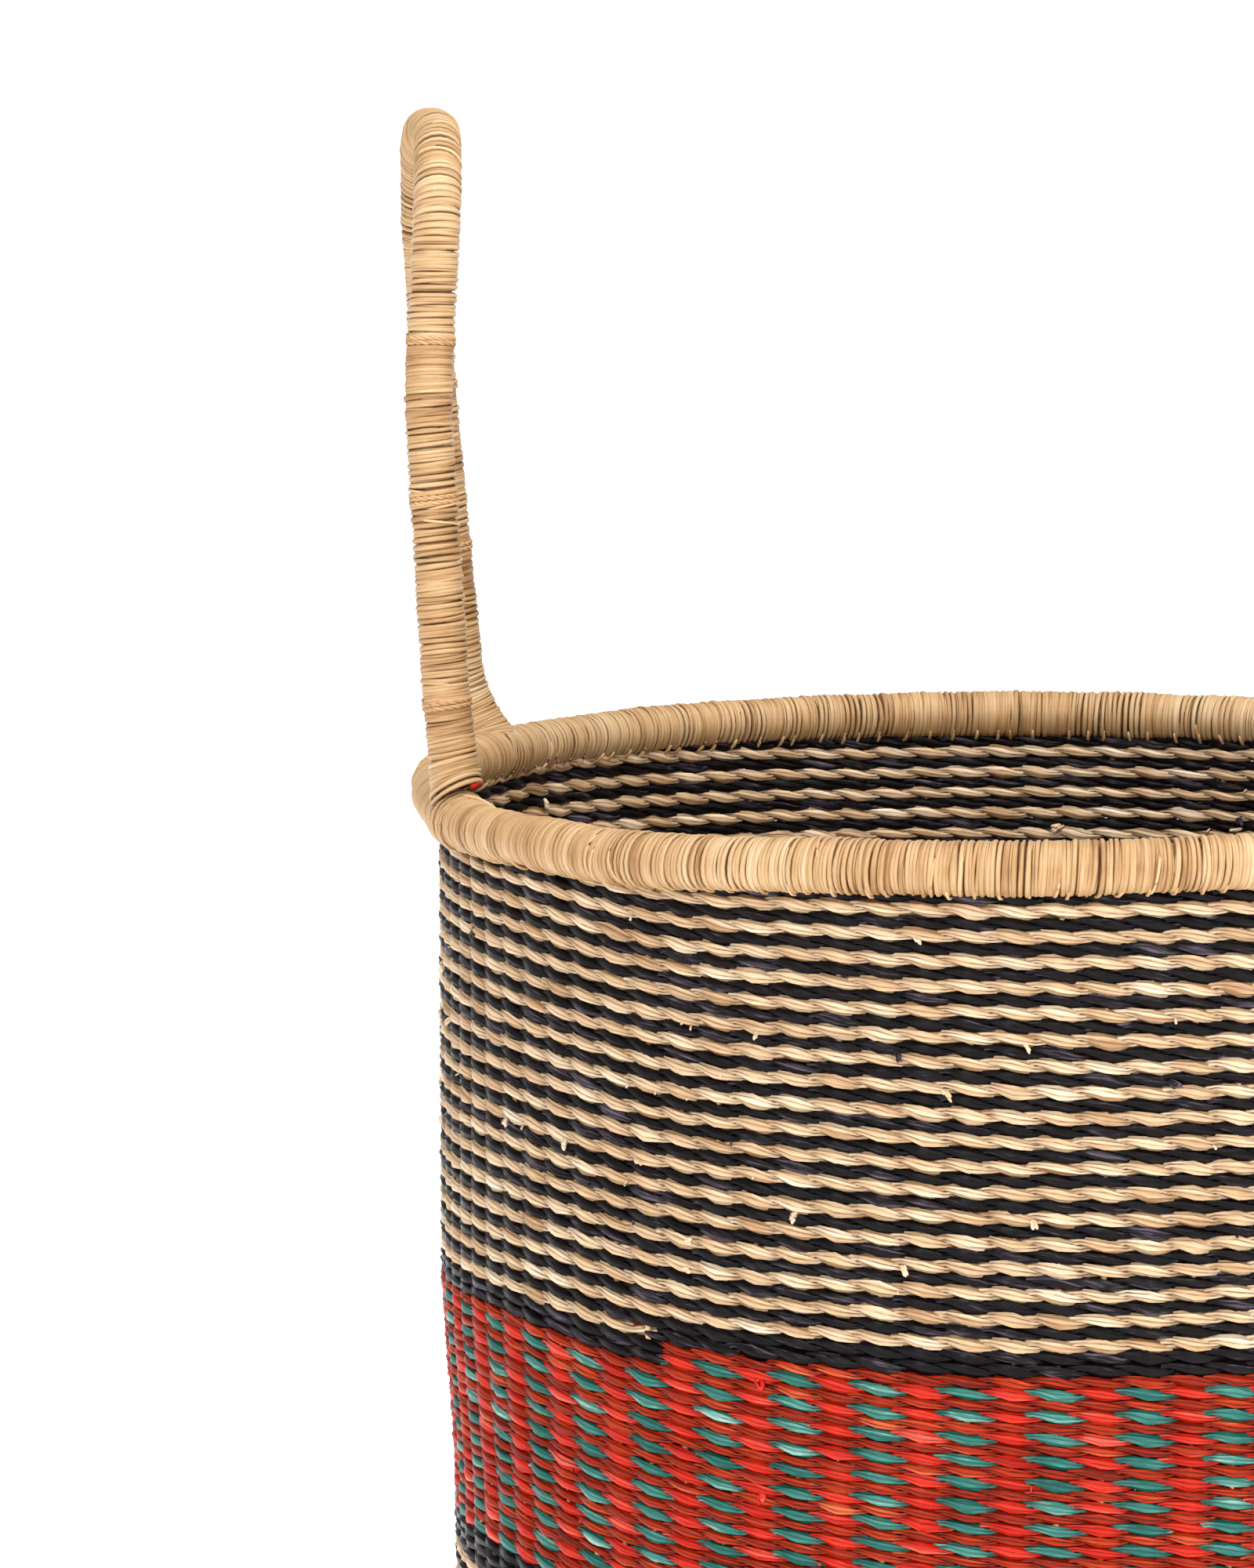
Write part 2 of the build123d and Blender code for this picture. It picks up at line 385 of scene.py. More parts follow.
# Painted highlight: the pale top of the black ramp, with the wide streak spread, gives light streaks along
# the straws in place of gloss.
BLACK = straw_material(
    "black straw", [(7, 4, 5), (13, 8, 10), (22, 15, 18), (96, 86, 98)], (2, 1, 1), 0.3, streak=0.6,
    bump=0.8, specular=0.12, fibre_line_shade=0.7)
RUST = straw_material(
    "rust straw", [(90, 14, 4), (144, 32, 8), (176, 48, 14), (210, 98, 58)], (34, 4, 2), 0.38, specular=0.12,
    fibre_line_shade=0.75)
RED = straw_material(
    "red straw", [(158, 20, 8), (196, 36, 20), (216, 54, 36), (238, 112, 92)], (66, 5, 3), 0.38,
    specular=0.12, fibre_line_shade=0.7)
TEAL = straw_material(
    "teal straw", [(16, 74, 68), (32, 104, 94), (66, 132, 120), (152, 190, 180)], (10, 36, 32), 0.4,
    streak=0.55, specular=0.2, fibre_line_shade=0.6)
WRAP = straw_material(
    "wrap straw", [(150, 108, 64), (190, 150, 102), (208, 172, 126), (222, 192, 152)], (92, 58, 30), 0.38,
    specular=0.34)
SPLICE = straw_material(
    "splice straw", [(140, 98, 58), (172, 128, 82), (196, 154, 106), (214, 176, 130)], (84, 54, 28), 0.42)
RODS = rod_material("stake straw", [(186, 140, 88), (226, 186, 134)], (900, 900, 30))
CORES = rod_material("core straw", [(150, 108, 64), (206, 164, 112)], (300, 300, 300))


# ---------------------------------------------------------------- wall

def wall_profile():
    """The wall's middle line: down from the rim, round the corner and in along the floor.

    One point a millimetre, as depth below the rim, radius and height.
    """
    arc_middle = (CORNER_R - CORNER_BEND, FLOOR_Z + CORNER_BEND)
    turns = np.linspace(0, math.pi / 2, 30)
    arc = [
        (arc_middle[0] + CORNER_BEND * math.cos(turn), arc_middle[1] - CORNER_BEND * math.sin(turn))
        for turn in turns]
    line = np.array(
        [(WALL_TOP_R, RIM_Z + 20), (WALL_TOP_R, BAND_HIGH_Z - 5), (WALL_LOW_R, BAND_LOW_Z + 16)]
        + arc + [(0.0, FLOOR_Z)])
    steps = np.hypot(*np.diff(line, axis=0).T)
    depth = np.concatenate([[0], np.cumsum(steps)]) - 20
    grid = np.arange(-20, depth[-1], 1.0)
    radius = np.interp(grid, depth, line[:, 0])
    height = np.interp(grid, depth, line[:, 1])
    window = np.ones(11) / 11
    padded_radius = np.pad(radius, 5, mode="edge")
    padded_height = np.pad(height, 5, mode="reflect", reflect_type="odd")
    return grid, np.convolve(padded_radius, window, "valid"), np.convolve(padded_height, window, "valid")


PROFILE = wall_profile()


def rim_wave(theta):
    """How far the rim stands above or below its mean height, at each angle."""
    degrees = np.degrees(theta) % 360
    wave = np.zeros_like(degrees)
    for rise, middle, spread in RIM_DIPS:
        wave += rise * np.exp(-((degrees - middle) / spread) ** 2)
    return wave


def row_depth(number, theta):
    """Depth below the rim, along the wall, of a row number at an angle."""
    away = (theta - LEFT_MIDDLE + math.pi) % TURN - math.pi
    share = np.exp(-(away / LEFT_SPREAD) ** 2)
    front = np.interp(number, ROW_KNOTS, FRONT_DEPTHS)
    left = np.interp(number, ROW_KNOTS, LEFT_DEPTHS)
    behind = (theta - HANG_MIDDLE + math.pi) % TURN - math.pi
    hang = HANG * np.exp(-(behind / HANG_SPREAD) ** 2) * np.exp(-np.clip(number, 0, None) / HANG_FADE_ROWS)
    wobble = 0.35 * np.sin(5 * theta + 0.11 * number) + 0.22 * np.sin(11 * theta + 0.37 * number)
    lift = np.interp(np.degrees(theta) % 360, LIFT_KNOTS, LIFTS)
    lift = lift * np.interp(number, LIFT_ROWS, LIFT_SHARES)
    return front + (left - front) * share + hang - lift + wobble * np.clip(number / 8, 0, 1)


def on_wall(depth, theta, outward):
    """Points at a depth along the wall and a distance outward from its middle."""
    grid, radius, height = PROFILE
    slope_radius = np.gradient(radius)
    slope_height = np.gradient(height)
    down_r = np.interp(depth, grid, slope_radius)
    down_z = np.interp(depth, grid, slope_height)
    size = np.hypot(down_r, down_z)
    middle_r = np.interp(depth, grid, radius)
    middle_z = np.interp(depth, grid, height)
    r = middle_r - outward * down_z / size
    z = middle_z + outward * down_r / size
    z = z + rim_wave(theta) * np.exp(-np.clip(depth, 0, None) / WAVE_FADE)
    z = np.maximum(z, LOWEST_Z)
    return np.stack([r * np.cos(theta), r * np.sin(theta), z], axis=-1)


def twined(batch, row, turns, strand, rng, stakes=STAKES, samples=6, sides=12, tall=1.0, lead=0.0):
    """One strand of a run of rows, from row number row, down the spiral for a number of turns.

    The strand starts and ends half a stitch beyond its run, so that it meets the strand that carries on.
    """
    lap = 0.5 / stakes
    turn = np.linspace(lead - lap, turns + lap, int((turns - lead) * stakes * samples) + samples + 1)
    theta = JOG + TURN * turn
    number = row + 2 * turn
    place = stakes * (theta - STAKE_TURN) / TURN
    phase = math.pi * (place + strand)
    face = np.abs(np.cos(phase))
    swing = np.cos(phase + STRAND_LEAD)
    stitch = np.round(place).astype(int) - int(math.floor(place[0]))
    stitches = stitch.max() + 1

    height_jitter = rng.normal(0, 0.10, stitches)[stitch]
    rise_jitter = rng.normal(0, 0.20, stitches)[stitch]
    reach_jitter = rng.normal(0, 0.13, stitches)[stitch]
    stitch_tone = rng.normal(0, 0.15, (stitches, LOBES))
    stitch_tone += rng.normal(0, 0.08, (stitches, 1))
    roll = np.interp(place - place[0], np.arange(stitches + 1), rng.normal(0, 0.3, stitches + 1))

    pitch = row_depth(number + 0.5, theta) - row_depth(number - 0.5, theta)
    slide = 0.25 * np.sin(phase) + 0.75 * np.arcsin(np.sin(phase)) * 2 / math.pi
    rise = -STRAND_RISE * pitch * slide + rise_jitter * face
    depth = row_depth(number, theta) - rise
    reach = STRAND_REACH * np.sign(swing) * np.abs(swing) ** 1.4 * (1 + reach_jitter * 0.4)
    half_height = pitch * (0.52 - 0.24 * np.abs(slide)) * tall * (1 + height_jitter * face)
    half_thickness = STRAND_HALF_THICKNESS * (1 + 0.4 * reach_jitter * face)
    end = np.minimum(turn - turn[0], turn[-1] - turn) * stakes
    taper = np.clip(0.1 + end * 1.4, 0, 1) ** 0.8

    corner = np.arange(sides)
    wander = rng.normal(0, 0.07, sides)
    angle = TURN * corner[None, :] / sides + wander[None, :] + roll[:, None] + math.pi / 2
    lobe = 1 + LOBE_DEPTH * np.where(corner % 2 == 0, 1, -1)[None, :]
    out = reach[:, None] + half_thickness[:, None] * taper[:, None] * lobe * np.cos(angle)
    along_wall = half_height[:, None] * taper[:, None] * lobe * np.sin(angle)
    wide_theta = np.repeat(theta[:, None], sides, axis=1)
    rings = on_wall(depth[:, None] - along_wall, wide_theta, out)

    lobe_tone = stitch_tone[stitch][:, (corner // 2) % LOBES]
    # Painted shade: darker in the grooves between the straws and towards the crossings, where the strands go
    # behind each other.
    groove_shade = np.where(corner % 2 == 0, 0.0, 0.22)[None, :]
    shade = np.clip(groove_shade + 0.35 * (1 - face[:, None]) ** 2, 0, 1)
    radius = np.interp(depth, PROFILE[0], PROFILE[1])
    batch.tube(rings, theta * radius.mean(), 0.5 + lobe_tone, shade)


def rows(name, runs, material, slot, nodes, seed, **shape):
    """One piece of several runs of twined rows; a run is (row, turns, strands, lead)."""
    batch = Batch()
    rng = np.random.default_rng(seed)
    for row, turns, strands, lead in runs:
        for strand in strands:
            twined(batch, row, turns, strand, rng, lead=lead, **shape)
    return batch.build(name, material, nodes)


def weave_wall():
    """Every row of the wall, from the rim to the corner."""
    natural, dark = (NATURAL, "natural_straw"), (BLACK, "black_straw")
    rust, red, teal = (RUST, "rust_straw"), (RED, "red_straw"), (TEAL, "teal_straw")
    upper, band, lower = "upper_striped_weave", "red_teal_weave", "lower_striped_weave"
    upper_end = [(25, 6 - 0.4 / STAKES, (0,), 0), (25, 6 - 1.4 / STAKES, (1,), 0)]
    for name, runs, (material, slot), node, seed, tall in (
        ("upper_natural_rows_1", [(-1, 7, BOTH, 0.15)], natural, upper, 11, NATURAL_TALL),
        ("upper_natural_rows_2", [(13, 6, BOTH, 0)], natural, upper, 12, NATURAL_TALL),
        ("upper_natural_rows_3", upper_end, natural, upper, 13, NATURAL_TALL),
        ("upper_dark_rows_1", [(-2, 7, BOTH, 0.15)], dark, upper, 14, DARK_TALL),
        ("upper_dark_rows_2", [(12, 6, BOTH, 0)], dark, upper, 15, DARK_TALL),
        ("upper_dark_rows_3", [(24, 6, BOTH, 0)], dark, upper, 16, DARK_TALL),
        ("upper_black_rows", [(36, 1, BOTH, 0), (37, 1, BOTH, 0)], dark, "upper_black_weave", 17, BAND_TALL),
        ("rust_rows_1", [(38, 6, BOTH, 0)], rust, band, 21, 1.0),
        ("rust_rows_2", [(50, 5, BOTH, 0)], rust, band, 22, 1.0),
        ("red_strands", [(39, 11, (0,), 0)], red, band, 23, BAND_TALL),
        ("teal_strands", [(39, 11, (1,), 0)], teal, band, 24, BAND_TALL),
        ("lower_black_rows", [(60, 1, BOTH, 0), (61, 1, BOTH, 0)], dark, "lower_black_weave", 25, BAND_TALL),
        ("lower_natural_rows_1", [(63, 5, BOTH, 0)], natural, lower, 31, NATURAL_TALL),
        ("lower_natural_rows_2", [(73, 5, BOTH, 0)], natural, lower, 32, NATURAL_TALL),
        ("lower_natural_rows_3", [(83, 5, BOTH, 0)], natural, lower, 33, NATURAL_TALL),
        ("lower_dark_rows_1", [(62, 5, BOTH, 0)], dark, lower, 34, DARK_TALL),
        ("lower_dark_rows_2", [(72, 5, BOTH, 0)], dark, lower, 35, DARK_TALL),
        ("lower_dark_rows_3", [(82, 5, BOTH, 0)], dark, lower, 36, DARK_TALL),
    ):
        rows(name, runs, material, slot, [node], seed, tall=tall)


def weave_base():
    """The rows that turn the corner and cross the floor."""
    coarse = {"samples": 3, "sides": 10}
    corner = [(92, 4, BOTH, 0), (93, 4, BOTH, 0)]
    rows("corner_rows", corner, BLACK, "black_straw", ["base_corner_weave"], 41, **coarse)
    for number, first in enumerate((100, 110, 120)):
        runs = [(first, 5, BOTH, 0), (first + 1, 5, BOTH, 0)]
        name = f"base_rows_{number + 1}"
        rows(name, runs, NATURAL, "natural_straw", ["base_weave"], 42 + number, **coarse)
    start = [(130, 5, BOTH, 0), (131, 4.5, BOTH, 0)]
    rows(
        "base_start_rows", start, NATURAL, "natural_straw", ["base_start_weave"], 46,
        stakes=START_STAKES, **coarse)


def weave_start():
    """The base's centre: a small mat of straws that cross over and under each other."""
    rng = np.random.default_rng(47)
    batch = Batch()
    for number in range(-10, 11):
        offset = number * MAT_PITCH
        half = math.sqrt(max(MAT_R ** 2 - offset ** 2, 16))
        along = np.linspace(-half, half, int(half * 1.6) + 8)
        for way in range(2):
            over = np.cos(math.pi * (along / MAT_PITCH + number + way)) * 0.75
            across = offset + rng.normal(0, 0.12)
            line = [along, np.full_like(along, across), FLOOR_Z + over]
            centre = np.stack(line if way == 0 else [line[1], line[0], line[2]], axis=-1)
            straw_along(batch, centre, MAT_STRAW_R, rng.normal(0.5, 0.15))
    batch.build("start_mat", NATURAL, ["starter_straws"])


# ---------------------------------------------------------------- winding

def round_path(path, s, psi):
    """Points of a path at the distances s, and the directions away from it at the angles psi.

    A path is (distance, point, normal, binormal), with a row for each of its points.
    """
    distance, point, normal, binormal = path

    def at(values):
        return np.stack([np.interp(s, distance, values[:, k]) for k in range(3)], axis=-1)

    away = at(normal) * np.cos(psi)[..., None] + at(binormal) * np.sin(psi)[..., None]
    return at(point), away


def wound(batch, path, span, pitch, radius, rng, slack, samples=18, tilt=None, tone=None, ply=6):
    """Two straws side by side, wound over a path from span[0] to span[1].

    They change places now and then, as the straws of a hand-wound bundle do.
    """
    length = span[1] - span[0]
    count = max(int(round(length / pitch)), 1)
    q = np.linspace(0, count, count * samples + 1)
    psi = TURN * q
    turn_number = np.arange(count + 3)
    quarter = np.arange(4 * count + 5) / 4
    sway = np.interp(q, turn_number, rng.normal(0, slack / 2, count + 3))
    turn_tone = np.interp(q, turn_number, rng.normal(0, 0.10, count + 3))
    change = np.cumsum(rng.normal(0, 0.9, count + 3)) + rng.uniform(0, TURN)
    swap = np.interp(q, turn_number, change)

    for strand in range(2):
        width = np.interp(q, quarter, rng.normal(1.0, 0.16, len(quarter)))
        lift = np.interp(q, quarter, rng.normal(0, 0.13, len(quarter)))
        wobble = np.interp(q, quarter, rng.normal(0, slack, len(quarter)))
        side = np.sin(swap + strand * math.pi)
        over = np.cos(swap + strand * math.pi)
        s = span[0] + length * q / count + sway * np.sin(psi) + wobble + 0.25 * pitch * side
        if tilt is not None:
            amount, direction = tilt
            s = s + amount(s) * np.cos(psi - direction)
        flat = TURN * np.arange(ply) / ply
        across = np.cos(flat) * 0.43 * pitch
        thick = np.sin(flat) * WRAP_HALF_THICKNESS
        ring_s = s[:, None] + across[None, :] * width[:, None]
        middle = radius(s) + lift - WRAP_HALF_THICKNESS + 0.28 * over - 0.1
        ring_radius = middle[:, None] + thick[None, :]
        point, away = round_path(path, ring_s, np.repeat(psi[:, None], ply, axis=1))
        away /= np.linalg.norm(away, axis=-1, keepdims=True)
        rings = point + away * ring_radius[..., None]
        base_tone = 0.5 if tone is None else tone(s)
        # Painted shade: darker at the straws' edges, between the turns, and on their undersides that face
        # the rim.
        edge = np.abs(np.cos(flat)) ** 2 * 0.85 + np.where(np.sin(flat) < -0.1, 0.4, 0)
        own_tone = turn_tone + np.interp(q, quarter, rng.normal(0, 0.13, len(quarter)))
        batch.tube(rings, psi * 8, (base_tone + own_tone)[:, None], np.clip(edge, 0, 1)[None, :])


def crossing_straws(batch, path, span, count, reach, rng):
    """Single straws that lie aslant over the turns, part of the way round."""
    radius = reach - 0.15 - 0.6 * (2 * np.linspace(0, 1, CROSSING_POINTS) - 1) ** 4
    for _ in range(count):
        start = rng.uniform(*span)
        psi = np.linspace(0, rng.uniform(1.8, 3.4), CROSSING_POINTS) + rng.uniform(0, TURN)
        s = start + np.linspace(0, rng.choice([-1, 1]) * rng.uniform(1.5, 4.0), CROSSING_POINTS)
        point, away = round_path(path, s, psi)
        straw_along(batch, point + away * radius[:, None], 0.5, rng.normal(0.5, 0.14))


def rim_path():
    """The rim's centre line, once round and a little more, with the directions outward and up."""
    theta = np.linspace(-0.2, TURN + 0.2, 900)
    outward = np.stack([np.cos(theta), np.sin(theta), np.zeros_like(theta)], axis=-1)
    point = outward * RIM_R
    point[:, 2] = RIM_Z + rim_wave(theta)
    upward = np.tile([0.0, 0.0, 1.0], (len(theta), 1))
    return theta * RIM_R, point, outward, upward


def handle_path():
    """The handle's centre line from its front foot to its rear foot, straight runs joined by arcs."""
    corners = [np.array(p, float) for p in HANDLE_POINTS]
    line = [corners[0]]
    for before, corner, after, bend in zip(corners, corners[1:], corners[2:], HANDLE_BENDS):
        towards = (before - corner) / np.linalg.norm(before - corner)
        away = (after - corner) / np.linalg.norm(after - corner)
        half = math.acos(np.clip(towards @ away, -1, 1)) / 2
        middle = corner + (towards + away) / np.linalg.norm(towards + away) * bend / math.sin(half)
        reach = bend / math.tan(half)
        first, last = corner + towards * reach, corner + away * reach
        for share in np.linspace(0, 1, 24):
            spoke = (first - middle) * (1 - share) + (last - middle) * share
            line.append(middle + spoke / np.linalg.norm(spoke) * bend)
    line.append(corners[-1])
    line = np.array(line)
    distance = np.concatenate([[0], np.cumsum(np.linalg.norm(np.diff(line, axis=0), axis=1))])
    grid = np.linspace(0, distance[-1], 600)
    point = np.stack([np.interp(grid, distance, line[:, k]) for k in range(3)], axis=-1)
    tangent = np.gradient(point, axis=0)
    tangent /= np.linalg.norm(tangent, axis=1, keepdims=True)
    outward = np.array([-1.0, 0.0, 0.0]) + tangent * tangent[:, :1]
    outward /= np.linalg.norm(outward, axis=1, keepdims=True)
    return grid, point, outward, np.cross(tangent, outward)


def turned(path):
    """The same path on the other side of the basket."""
    distance, point, normal, binormal = path
    half_turn = np.array([-1.0, -1.0, 1.0])
    return distance, point * half_turn, normal * half_turn, binormal * half_turn


def slow_change(rng, length, step, size):
    """A smooth random value along a path."""
    places = np.arange(-step, length + 2 * step, step)
    values = rng.normal(0, size, len(places))

    def value(s):
        return np.interp(s, places, values)

    return value


def wind_rim():
    """The rim's wrap in two halves, and the bundle inside it."""
    path = rim_path()
    around = TURN * RIM_R
    rng = np.random.default_rng(51)
    drift = slow_change(rng, around, 46, 0.10)
    bulge = slow_change(rng, around, 17, 0.22)

    def radius(s):
        return RIM_TUBE - 0.05 + bulge(s)

    def tone(s):
        return 0.48 + drift(s)

    for number in range(2):
        batch = Batch()
        span = (around * number / 2, around * (number + 1) / 2)
        wound(batch, path, span, RIM_PITCH, radius, rng, tone=tone, slack=0.22)
        if number:
            crossing_straws(batch, path, (0, around), RIM_CROSSINGS, RIM_TUBE, rng)
        batch.build(f"rim_turns_{number + 1}", WRAP, ["rim_wrap"])

    theta = np.linspace(0, TURN, 361)[:-1]
    side = np.arange(18)
    angle = TURN * side / 18
    core_r = RIM_CORE_R * (1 + 0.04 * np.where(side % 2 == 0, 1, -1))
    r = RIM_R + core_r[None, :] * np.cos(angle)[None, :]
    z = RIM_Z + rim_wave(theta)[:, None] + core_r[None, :] * np.sin(angle)[None, :]
    rings = np.stack([r * np.cos(theta)[:, None], r * np.sin(theta)[:, None], z], axis=-1)
    batch = Batch()
    batch.tube(rings, theta * RIM_R, 0.4, 0.2, closed=True)
    batch.build("rim_bundle", SPLICE, ["rim_core"])


def stitch_rim():
    """Short straws from the rim's wrap through the first rows, more than one for each gap between stakes."""
    rng = np.random.default_rng(61)
    batch = Batch()
    for number in range(RIM_STITCHES):
        theta = TURN * (number + rng.uniform(-0.3, 0.3)) / RIM_STITCHES
        lean = rng.normal(0, 0.008)
        along = np.linspace(0, 1, 9)
        psi = math.radians(-35) - along * math.radians(110)
        reach = RIM_TUBE - 0.1 + np.sin(along * math.pi) * rng.uniform(0.3, 1.0)
        angle = theta + lean * (along - 0.5)
        r = RIM_R - 1.5 + reach * np.cos(psi)
        z = RIM_Z + rim_wave(angle) + reach * np.sin(psi)
        centre = np.stack([r * np.cos(angle), r * np.sin(angle), z], axis=-1)
        straw_along(batch, centre, 0.6, rng.normal(0.55, 0.12))
    batch.build("rim_stitch_straws", WRAP, ["rim_stitches"])


def straw_along(batch, centre, half_width, tone, sides=6, ends=0.5):
    """One round straw along a line of points."""
    tangent = np.gradient(centre, axis=0)
    tangent /= np.linalg.norm(tangent, axis=1, keepdims=True)
    helper = np.where(np.abs(tangent[:, 2:3]) < 0.8, [[0.0, 0.0, 1.0]], [[1.0, 0.0, 0.0]])
    first = np.cross(tangent, helper)
    first /= np.linalg.norm(first, axis=1, keepdims=True)
    second = np.cross(tangent, first)
    share = np.linspace(0, 1, len(centre))
    size = half_width * np.clip(ends + 4 * np.minimum(share, 1 - share), 0, 1)
    angle = TURN * np.arange(sides) / sides
    rings = centre[:, None, :] + size[:, None, None] * (
        first[:, None, :] * np.cos(angle)[None, :, None] + second[:, None, :] * np.sin(angle)[None, :, None])
    batch.tube(rings, share * 20, tone, 0.05)


def wind_handle(side, path, seed):
    """One handle: its wrap, its splice rings and the lashings of its two feet."""
    rng = np.random.default_rng(seed)
    length = path[0][-1]
    bulge = slow_change(rng, length, 16, 0.16)
    drift = slow_change(rng, length, 38, 0.12)

    def radius(s):
        foot = np.minimum(s, length - s)
        return HANDLE_R - 0.1 + bulge(s) + 1.0 * np.exp(-np.clip(foot - 8, 0, None) / 12)

    def lean(s):
        foot = np.minimum(s, length - s)
        return 4.0 * np.exp(-np.clip(foot - 8, 0, None) / 6)

    places = FRONT_SPLICES + [length - rise for rise in REAR_SPLICES]

    def tone(s):
        value = 0.52 + drift(s)
        for place in places:
            below = (place - s) * (1 if place < length / 2 else -1)
            value = value - np.where(below > 0, 0.26 * np.exp(-below / 16), -0.08 * np.exp(below / 12))
        return value

    batch = Batch()
    wound(
        batch, path, (5, length - 5), RIM_PITCH, radius, rng, tone=tone, slack=0.22,
        tilt=(lean, math.pi * 0.75))
    crossing_straws(batch, path, (20, length - 20), HANDLE_CROSSINGS, HANDLE_R, rng)
    batch.build(f"{side}_handle_turns", WRAP, [f"{side}_handle_wrap"])

    batch = Batch()
    for place in places:
        splice(batch, path, place, rng)
    batch.build(f"{side}_splice_turns", SPLICE, [f"{side}_handle_splices"])

    rim = rim_path()
    for end, foot, fan in (("front", path[1][0], -0.30), ("rear", path[1][-1], 0.42)):
        middle = (math.atan2(foot[1], foot[0]) % TURN) * RIM_R
        batch = Batch()

        def lashing_radius(s):
            return RIM_TUBE + 1.15 - ((s - middle) / 9) ** 4

        def spread(s):
            return (s - middle) * fan

        span = (middle - LASHING_HALF, middle + LASHING_HALF)
        wound(
            batch, rim, span, LASHING_PITCH, lashing_radius, rng, slack=0.35, tilt=(spread, -math.pi / 2))
        if end == "front":
            foot_straw(batch, rim, middle, rng)
        batch.build(f"{side}_{end}_foot_turns", WRAP, [f"{side}_{end}_lashing"])


def foot_straw(batch, rim, middle, rng):
    """A flat pair of straws that runs from the front foot aslant over the rim to the inside."""
    for shift in (0.0, 1.1):
        s = middle + shift + np.linspace(6, 19, CROSSING_POINTS)
        psi = np.radians(np.linspace(84, 150, CROSSING_POINTS))
        point, away = round_path(rim, s, psi)
        straw_along(batch, point + away * (RIM_TUBE + 0.25), 0.65, rng.normal(0.6, 0.08))


def splice(batch, path, place, rng):
    """Two rows of two strands twisted together, once round the handle."""
    psi = np.linspace(0, TURN * 1.05, 120)
    for row in (-0.85, 0.85):
        for strand in range(2):
            twist = 9 * psi + strand * math.pi + row
            s = place + row + 0.42 * np.cos(twist) + 1.2 * psi / TURN
            reach = HANDLE_R - 0.3 + 0.25 * np.sin(twist)
            point, away = round_path(path, s, psi)
            straw_along(batch, point + away * reach[:, None], 0.5, rng.normal(0.55, 0.1))


# ---------------------------------------------------------------- loose ends

def loose_end(batch, theta, depth, outward, length, lean, rng, width):
    """One cut straw that comes out of the weave at an angle and a depth and lies over the row below."""
    share = np.linspace(0, 1, 6)
    down = length * share * math.cos(lean)
    sideways = length * share * math.sin(lean) / WALL_TOP_R
    reach = outward * (1.0 + (1.5 + rng.uniform(0, 0.6)) * np.sin(share * math.pi / 2))
    centre = on_wall(depth + down, theta + sideways, reach)
    straw_along(batch, centre, width, rng.normal(0.7, 0.15), sides=5, ends=0.35)


def cut_ends(name, material, rows_of, singles, bunches, seed):
    """Ends of cut straws at the lower edge of some rows, singly and in small bunches, outside and inside."""
    rng = np.random.default_rng(seed)
    batch = Batch()
    for index in range(singles + bunches):
        number = rng.choice(rows_of) + rng.normal(0.3, 0.12)
        stake = rng.integers(STAKES)
        theta = STAKE_TURN + TURN * (stake + rng.normal(0.35, 0.2)) / STAKES
        depth = row_depth(number, np.float64(theta))
        outward = 1 if rng.random() < 0.7 else -1
        straws = 1 if index < singles else rng.integers(3, 6)
        lean = rng.normal(0.5, 0.7)
        for _ in range(straws):
            length = rng.uniform(0.8, 2.0) if straws == 1 else rng.uniform(1.8, 4.2)
            along = theta + rng.normal(0, 0.55) / WALL_TOP_R
            width = rng.uniform(0.3, 0.5) if straws == 1 else rng.uniform(0.5, 0.8)
            turn_away = lean + rng.normal(0, 0.22)
            loose_end(batch, along, depth + rng.normal(0, 0.3), outward, length, turn_away, rng, width)
    batch.build(name, material, [])


def add_loose_ends():
    """Cut ends over the wall, and one red straw that is caught at the left handle's front foot."""
    natural_rows = [*range(1, 37, 2), *range(63, 92, 2)]
    cut_ends("natural_cut_ends", NATURAL, natural_rows, 160, 170, 81)
    cut_ends("dark_cut_ends", BLACK, range(2, 38, 2), 50, 20, 82)
    cut_ends("red_cut_ends", RED, range(39, 60, 2), 30, 24, 83)
    rng = np.random.default_rng(84)
    batch = Batch()
    for shift in (0.0, 0.7):
        line = np.linspace((-197.0, -85.4, 418.0 + shift), (-193.2, -83.6, 419.6 + shift / 2), 6)
        straw_along(batch, line, 0.38, rng.normal(0.3, 0.1))
    batch.build("red_straw_at_foot", RED, [])


# ---------------------------------------------------------------- scene

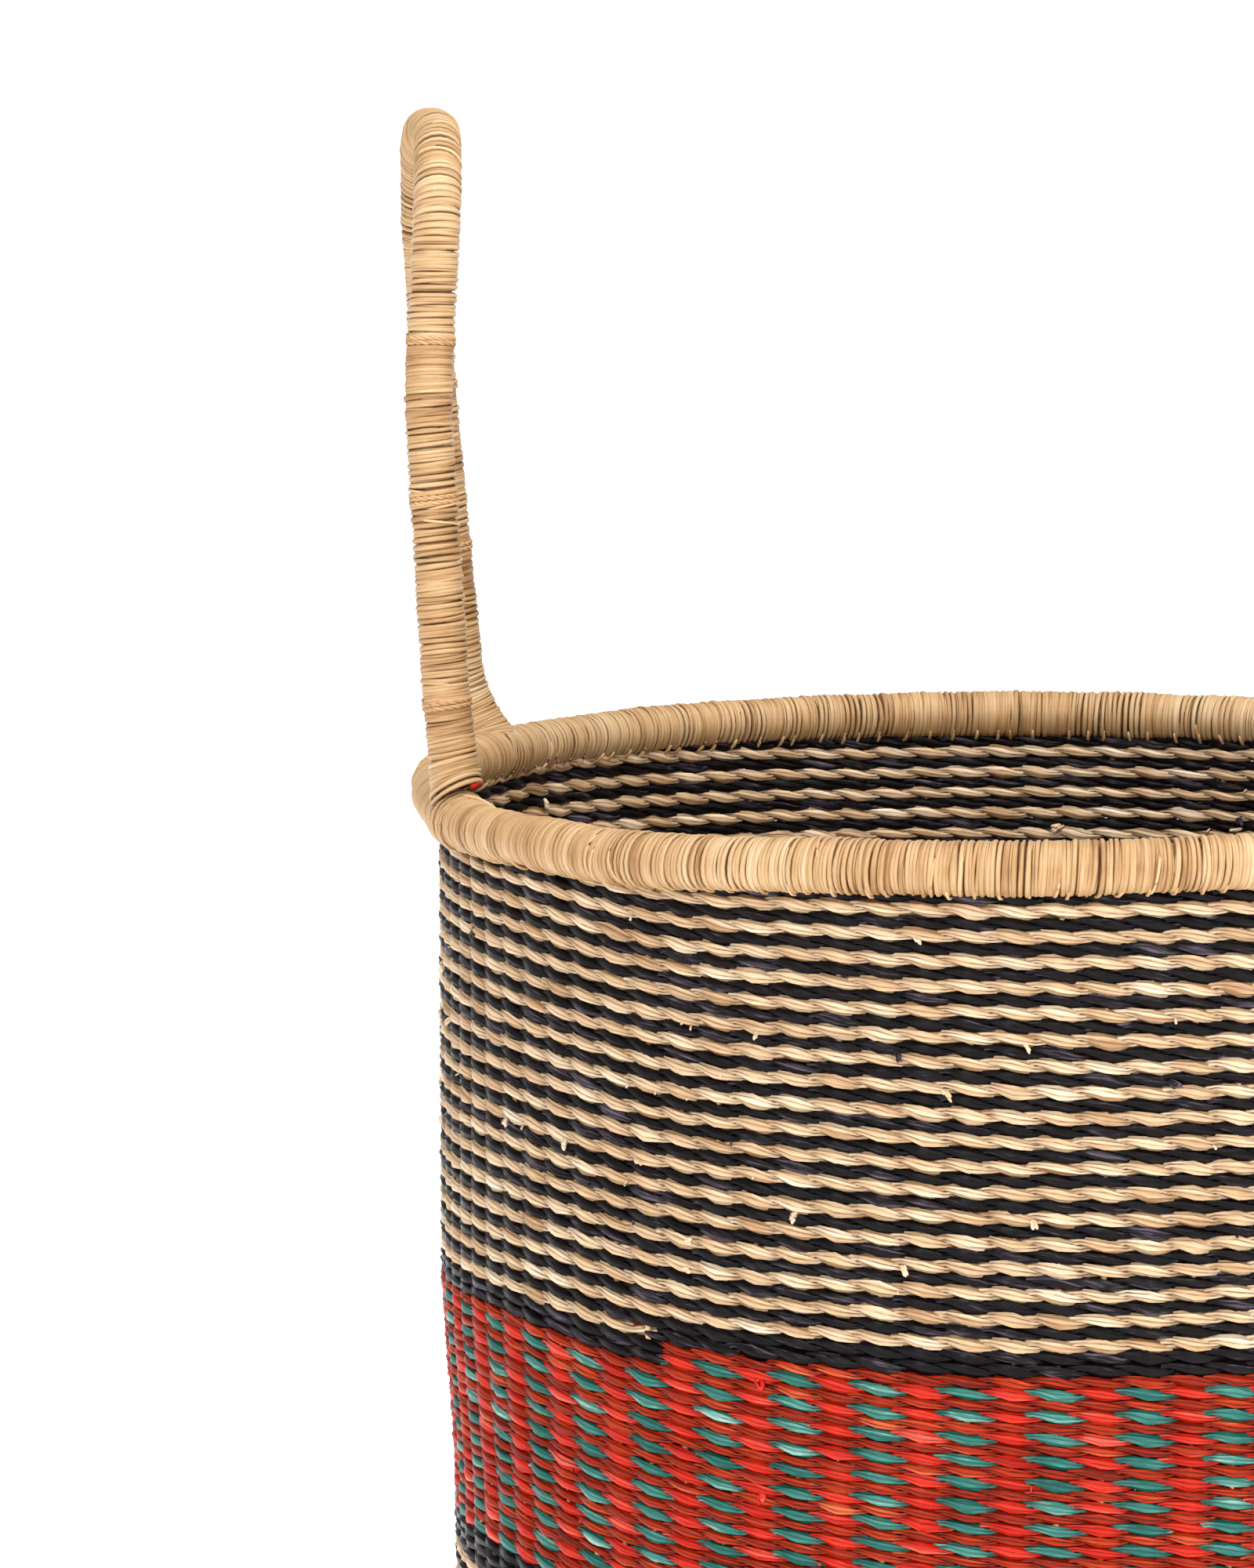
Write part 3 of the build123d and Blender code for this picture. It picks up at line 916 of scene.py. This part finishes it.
def camera_and_light():
    """The camera, a soft studio light from both sides, and a plain pale floor."""
    data = bpy.data.cameras.new("camera")
    data.sensor_width = 36
    data.lens = 144
    data.clip_end = 2000
    camera = bpy.data.objects.new("camera", data)
    camera.location = CAMERA_PLACE
    camera.rotation_euler = (math.pi / 2 - CAMERA_DOWN, 0, CAMERA_TURN)
    bpy.context.scene.collection.objects.link(camera)
    bpy.context.scene.camera = camera

    world = bpy.data.worlds.new("studio")
    world.use_nodes = True
    world.node_tree.nodes["Background"].inputs["Color"].default_value = (1, 1, 1, 1)
    world.node_tree.nodes["Background"].inputs["Strength"].default_value = WORLD_LIGHT
    bpy.context.scene.world = world

    for name, place, size, power in LAMPS:
        light = bpy.data.lights.new(name, "AREA")
        light.shape = "DISK"
        light.size = size
        light.energy = power
        lamp = bpy.data.objects.new(name, light)
        lamp.location = place
        aim = np.array(LAMP_AIM) - np.array(place)
        lamp.rotation_euler = (
            math.atan2(math.hypot(aim[0], aim[1]), -aim[2]), 0, math.atan2(aim[1], aim[0]) - math.pi / 2)
        bpy.context.scene.collection.objects.link(lamp)

    mesh = bpy.data.meshes.new("floor")
    corners = [(x * FLOOR_HALF, y * FLOOR_HALF, 0) for x, y in ((-1, -1), (1, -1), (1, 1), (-1, 1))]
    mesh.from_pydata(corners, [], [(0, 1, 2, 3)])
    floor = bpy.data.objects.new("floor", mesh)
    bpy.context.scene.collection.objects.link(floor)
    paint, _, shader = new_material("pale floor")
    shader.inputs["Base Color"].default_value = (0.9, 0.9, 0.9, 1)
    shader.inputs["Roughness"].default_value = 0.9
    shader.inputs["Emission Color"].default_value = (1, 1, 1, 1)
    shader.inputs["Emission Strength"].default_value = 0.8
    mesh.materials.append(paint)
    bpy.context.scene.view_settings.view_transform = "Standard"


def dress_cad():
    """Materials of the CAD nodes. Only the stakes and the handle cores stay visible."""
    for name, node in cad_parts.items():
        material = RODS if ("stakes" in name or "starter" in name) else CORES
        node.data.materials.clear()
        node.data.materials.append(material)


camera_and_light()
dress_cad()
weave_wall()
weave_base()
weave_start()
wind_rim()
stitch_rim()
LEFT = handle_path()
wind_handle("left", LEFT, 71)
wind_handle("right", turned(LEFT), 72)
add_loose_ends()

bpy.context.view_layer.update()
